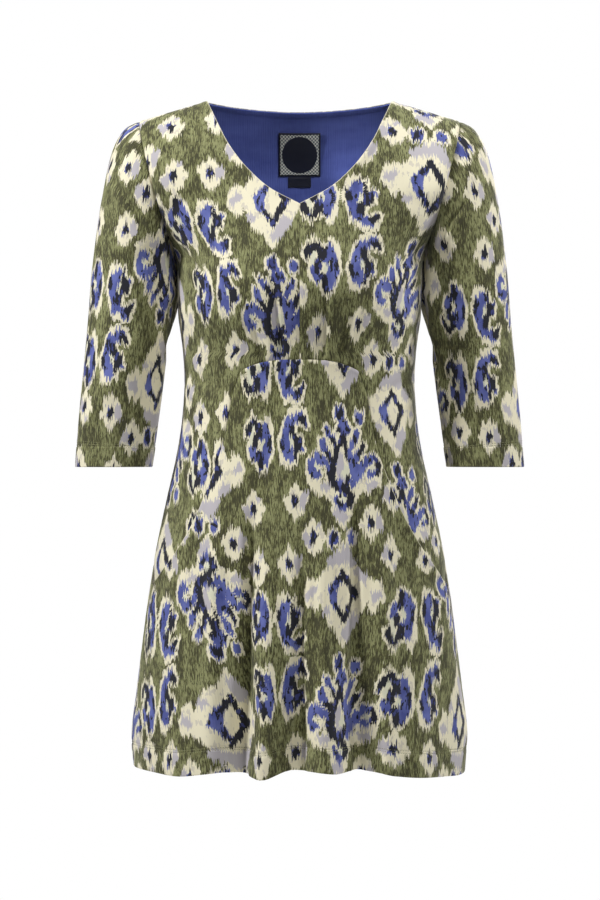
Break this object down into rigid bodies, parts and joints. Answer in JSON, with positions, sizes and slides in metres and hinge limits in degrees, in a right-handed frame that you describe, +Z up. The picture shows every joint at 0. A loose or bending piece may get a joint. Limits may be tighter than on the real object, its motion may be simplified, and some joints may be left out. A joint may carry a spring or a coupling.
{
  "type": "tunic top",
  "caption": "Flared V-neck jersey tunic top, filled out as if worn, with three-quarter sleeves, a seam under the bust and slanted pockets.",
  "frame": {"origin": "midway between the two high shoulder points, on the line that runs over the shoulders, where the wearer's shoulders carry the garment", "axes": "+Z up, -Y the way the front faces, +X towards the wearer's left sleeve"},
  "size_m": [0.5692, 0.3046, 0.8505],
  "materials": {
    "printed_jersey": "soft matt jersey, printed with an ikat in olive, cream and blue",
    "blue_jersey": "plain blue jersey",
    "woven_label": "navy woven satin"
  },
  "bodies": {
    "root": {"upper_front_left": "printed_jersey", "upper_front_right": "printed_jersey", "front_skirt": "printed_jersey", "back": "printed_jersey", "sleeve_left": "printed_jersey", "sleeve_right": "printed_jersey", "pocket_bag_left": "printed_jersey", "pocket_bag_right": "printed_jersey", "back_neck_facing": "blue_jersey", "neck_label": "woven_label", "size_tab": "woven_label"}
  },
  "joints": []
}
